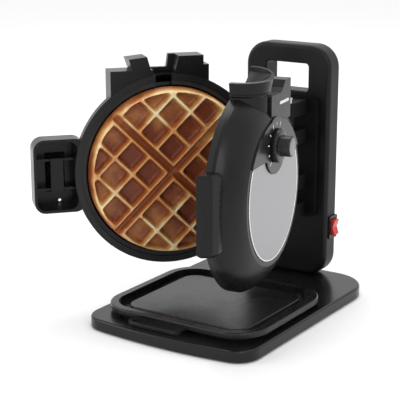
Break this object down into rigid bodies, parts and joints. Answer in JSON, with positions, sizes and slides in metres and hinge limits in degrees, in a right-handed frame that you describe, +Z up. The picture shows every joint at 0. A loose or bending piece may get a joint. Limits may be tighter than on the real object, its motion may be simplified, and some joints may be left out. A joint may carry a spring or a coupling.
{
  "type": "vertical waffle maker",
  "caption": "Countertop waffle maker with two upright round plates that open like a book in front of a carrying tower, over a drip tray on a flat base.",
  "frame": {"origin": "on the table, under the middle of the base's width, 134.5 mm behind its front edge", "axes": "+X to the right seen from the front, +Y to the back, +Z up"},
  "size_m": [0.2829, 0.3151, 0.281],
  "materials": {
    "housing_plastic": "gloss black moulding",
    "head_plastic": "satin black moulding",
    "tray_plastic": "gloss black moulding",
    "foot_rubber": "matte black rubber",
    "steel_disc": "brushed stainless sheet",
    "cast_plate": "black non-stick coating on cast aluminium",
    "bracket_metal": "black powder coat",
    "pin_steel": "plain steel",
    "switch_black": "matte black",
    "rocker_red": "red translucent rocker",
    "thermostat_body": "ceramic body and steel shaft",
    "light_lens": "pale translucent lens",
    "baked_waffle": "baked batter"
  },
  "bodies": {
    "stand": {"base_shell": "housing_plastic", "bottom_cover": "housing_plastic", "tower_front": "housing_plastic", "tower_rear": "housing_plastic", "right_shell": "head_plastic", "right_rim_ring": "head_plastic", "right_catch": "head_plastic", "right_funnel": "head_plastic", "pouring_cup": "head_plastic", "dial_panel": "head_plastic", "rubber_feet": "foot_rubber", "cord_gland": "foot_rubber", "right_face_disc": "steel_disc", "right_cooking_plate": "cast_plate", "hinge_bracket": "bracket_metal", "hinge_pin": "pin_steel", "pin_caps": "pin_steel", "base_screws": "pin_steel", "tower_screws": "pin_steel", "bracket_screws": "pin_steel", "right_plate_screws": "pin_steel", "right_heater": "pin_steel", "switch_body": "switch_black", "thermostat": "thermostat_body", "status_light": "light_lens"},
    "left_head": {"left_shell": "head_plastic", "left_rim_ring": "head_plastic", "left_cooking_plate": "cast_plate", "left_heater": "pin_steel", "left_plate_screws": "pin_steel", "left_face_disc": "steel_disc", "left_funnel": "head_plastic", "left_handle": "head_plastic", "left_hinge_arm": "bracket_metal", "waffle": "baked_waffle"},
    "tray": {"drip_tray": "tray_plastic"},
    "knob": {"dial_knob": "head_plastic"},
    "rocker": {"power_rocker": "rocker_red"}
  },
  "joints": [
    {"name": "left_head_hinge", "type": "hinge", "parent": "stand", "child": "left_head", "pos_m": [0.022, 0.085, 0.1545], "axis": [0, 0, 1], "range_deg": [-44, 51]},
    {"name": "tray_slide", "type": "slide", "parent": "stand", "child": "tray", "axis": [0, -1, 0], "range_m": [0, 0.2]},
    {"name": "knob_turn", "type": "hinge", "parent": "stand", "child": "knob", "pos_m": [0.08057, -0.03871, 0.203], "axis": [0.9848, 0.1736, 0], "range_deg": [-135, 135]},
    {"name": "rocker_tip", "type": "hinge", "parent": "stand", "child": "rocker", "pos_m": [0.051, 0.1395, 0.072], "axis": [0, 1, 0], "range_deg": [-10, 10]}
  ]
}
